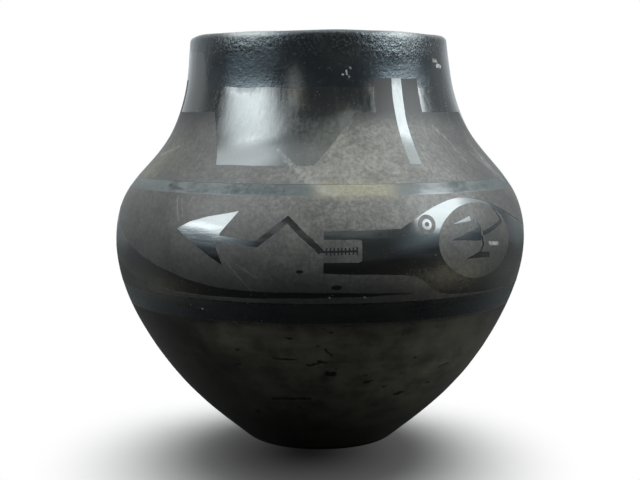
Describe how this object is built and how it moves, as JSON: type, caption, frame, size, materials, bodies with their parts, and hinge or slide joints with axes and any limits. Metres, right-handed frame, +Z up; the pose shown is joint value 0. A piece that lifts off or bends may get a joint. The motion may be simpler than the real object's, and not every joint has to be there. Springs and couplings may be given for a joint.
{
  "type": "pottery jar",
  "caption": "Round-bellied coil-built pottery jar with a small flat foot, a sloping shoulder and a tall open neck, for water, grain, dry stems or display.",
  "frame": {"origin": "centre of the flat foot, on the surface that the jar stands on", "axes": "+Z up along the jar's axis, -Y towards the viewer of the painted front, +X to that viewer's right"},
  "size_m": [0.2324, 0.2324, 0.23],
  "materials": {
    "fired_clay": "bare smoke-blackened clay, scraped and smoothed by hand",
    "burnished_slip": "stone-burnished black slip with matte black painting"
  },
  "bodies": {
    "root": {"pressed_base": "fired_clay", "coil_01": "fired_clay", "coil_02": "fired_clay", "coil_03": "fired_clay", "coil_04": "fired_clay", "coil_05": "fired_clay", "coil_06": "fired_clay", "coil_07": "fired_clay", "coil_08": "fired_clay", "coil_09": "fired_clay", "coil_10": "fired_clay", "rim_coil": "fired_clay", "slip_coat": "burnished_slip"}
  },
  "joints": []
}
